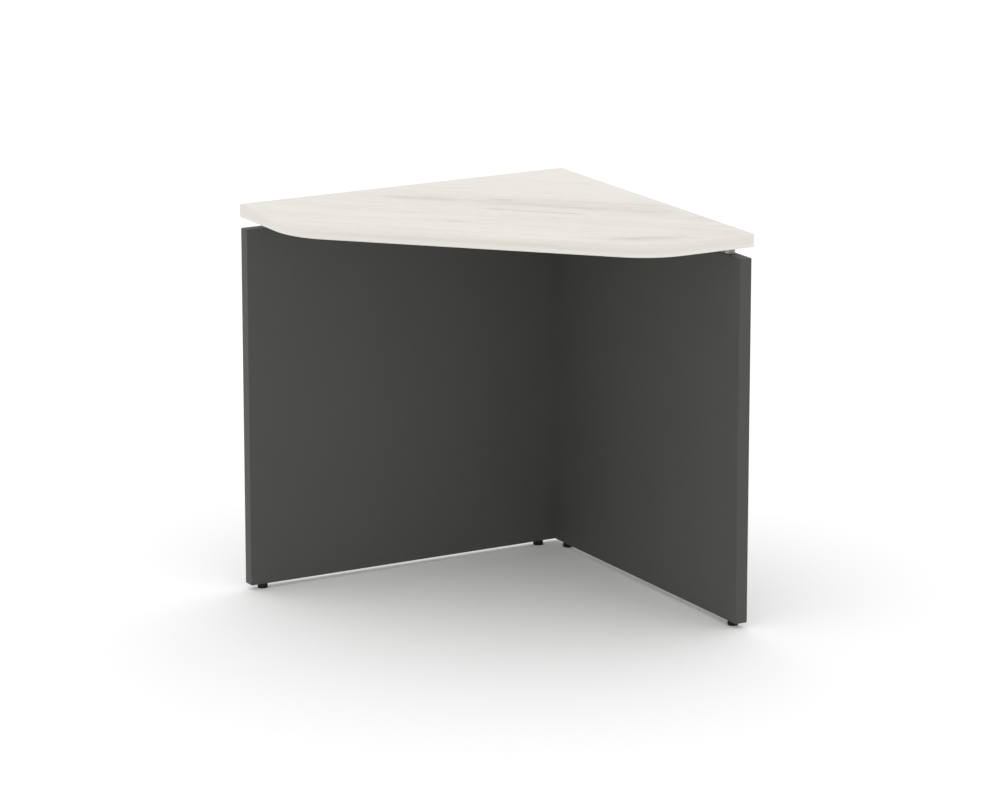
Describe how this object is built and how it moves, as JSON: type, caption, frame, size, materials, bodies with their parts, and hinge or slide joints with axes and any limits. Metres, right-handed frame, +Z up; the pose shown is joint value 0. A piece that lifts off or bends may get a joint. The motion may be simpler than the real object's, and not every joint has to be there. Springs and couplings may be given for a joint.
{
  "type": "corner table",
  "caption": "Corner table with a square-backed top and a straight diagonal front on round corners, raised on metal spacers over two dark panels at right angles.",
  "frame": {"origin": "on the floor, under the middle of the square that the two wall sides of the top span", "axes": "+Z up, +Y towards the wall behind the back panel, +X towards the wall beside the side panel, so the wall corner is at +X +Y and the diagonal front faces -X -Y"},
  "size_m": [0.7, 0.7, 0.75],
  "materials": {
    "pale_wood_decor": "matt whitewashed wood decor on chipboard",
    "pale_edge_band": "matt, to match the top",
    "anthracite_board": "matt anthracite melamine on chipboard",
    "anthracite_edge_band": "matt, to match the panels",
    "satin_spacer": "satin turned metal",
    "plated_steel": "zinc plated",
    "cast_zinc": "die cast, plain",
    "anthracite_plastic": "matt moulded",
    "black_plastic": "matt moulded",
    "beech": "raw beech"
  },
  "bodies": {
    "table": {"top_board": "pale_wood_decor", "top_front_band": "pale_edge_band", "top_back_band": "pale_edge_band", "top_side_band": "pale_edge_band", "back_panel_board": "anthracite_board", "back_panel_end_band": "anthracite_edge_band", "back_panel_corner_band": "anthracite_edge_band", "back_panel_top_band": "anthracite_edge_band", "back_panel_bottom_band": "anthracite_edge_band", "side_panel_board": "anthracite_board", "side_panel_end_band": "anthracite_edge_band", "side_panel_top_band": "anthracite_edge_band", "side_panel_bottom_band": "anthracite_edge_band", "back_end_spacer": "satin_spacer", "back_corner_spacer": "satin_spacer", "side_end_spacer": "satin_spacer", "side_corner_spacer": "satin_spacer", "bolt_inserts": "plated_steel", "top_bolts": "plated_steel", "corner_bolts": "plated_steel", "foot_inserts": "plated_steel", "cams": "cast_zinc", "cam_caps": "anthracite_plastic", "corner_dowels": "beech"},
    "back_end_pad": {"back_end_foot_pad": "black_plastic"},
    "back_end_stud": {"back_end_foot_stud": "plated_steel"},
    "back_corner_pad": {"back_corner_foot_pad": "black_plastic"},
    "back_corner_stud": {"back_corner_foot_stud": "plated_steel"},
    "side_corner_pad": {"side_corner_foot_pad": "black_plastic"},
    "side_corner_stud": {"side_corner_foot_stud": "plated_steel"},
    "side_end_pad": {"side_end_foot_pad": "black_plastic"},
    "side_end_stud": {"side_end_foot_stud": "plated_steel"}
  },
  "joints": [
    {"name": "back_end_foot_travel", "type": "slide", "parent": "table", "child": "back_end_pad", "axis": [0, 0, -1], "range_m": [0, 0.01]},
    {"name": "back_end_stud_turn", "type": "hinge", "parent": "back_end_pad", "child": "back_end_stud", "pos_m": [-0.32, 0.3325, 0], "axis": [0, 0, -1], "range_deg": [0, 2880]},
    {"name": "back_corner_foot_travel", "type": "slide", "parent": "table", "child": "back_corner_pad", "axis": [0, 0, -1], "range_m": [0, 0.01]},
    {"name": "back_corner_stud_turn", "type": "hinge", "parent": "back_corner_pad", "child": "back_corner_stud", "pos_m": [0.289, 0.3325, 0], "axis": [0, 0, -1], "range_deg": [0, 2880]},
    {"name": "side_corner_foot_travel", "type": "slide", "parent": "table", "child": "side_corner_pad", "axis": [0, 0, -1], "range_m": [0, 0.01]},
    {"name": "side_corner_stud_turn", "type": "hinge", "parent": "side_corner_pad", "child": "side_corner_stud", "pos_m": [0.3325, 0.289, 0], "axis": [0, 0, -1], "range_deg": [0, 2880]},
    {"name": "side_end_foot_travel", "type": "slide", "parent": "table", "child": "side_end_pad", "axis": [0, 0, -1], "range_m": [0, 0.01]},
    {"name": "side_end_stud_turn", "type": "hinge", "parent": "side_end_pad", "child": "side_end_stud", "pos_m": [0.3325, -0.32, 0], "axis": [0, 0, -1], "range_deg": [0, 2880]}
  ],
  "couplings": [
    {"joint": "back_end_foot_travel", "follows": "back_end_stud_turn", "m_per_rad": 0.00019894},
    {"joint": "back_corner_foot_travel", "follows": "back_corner_stud_turn", "m_per_rad": 0.00019894},
    {"joint": "side_corner_foot_travel", "follows": "side_corner_stud_turn", "m_per_rad": 0.00019894},
    {"joint": "side_end_foot_travel", "follows": "side_end_stud_turn", "m_per_rad": 0.00019894}
  ]
}
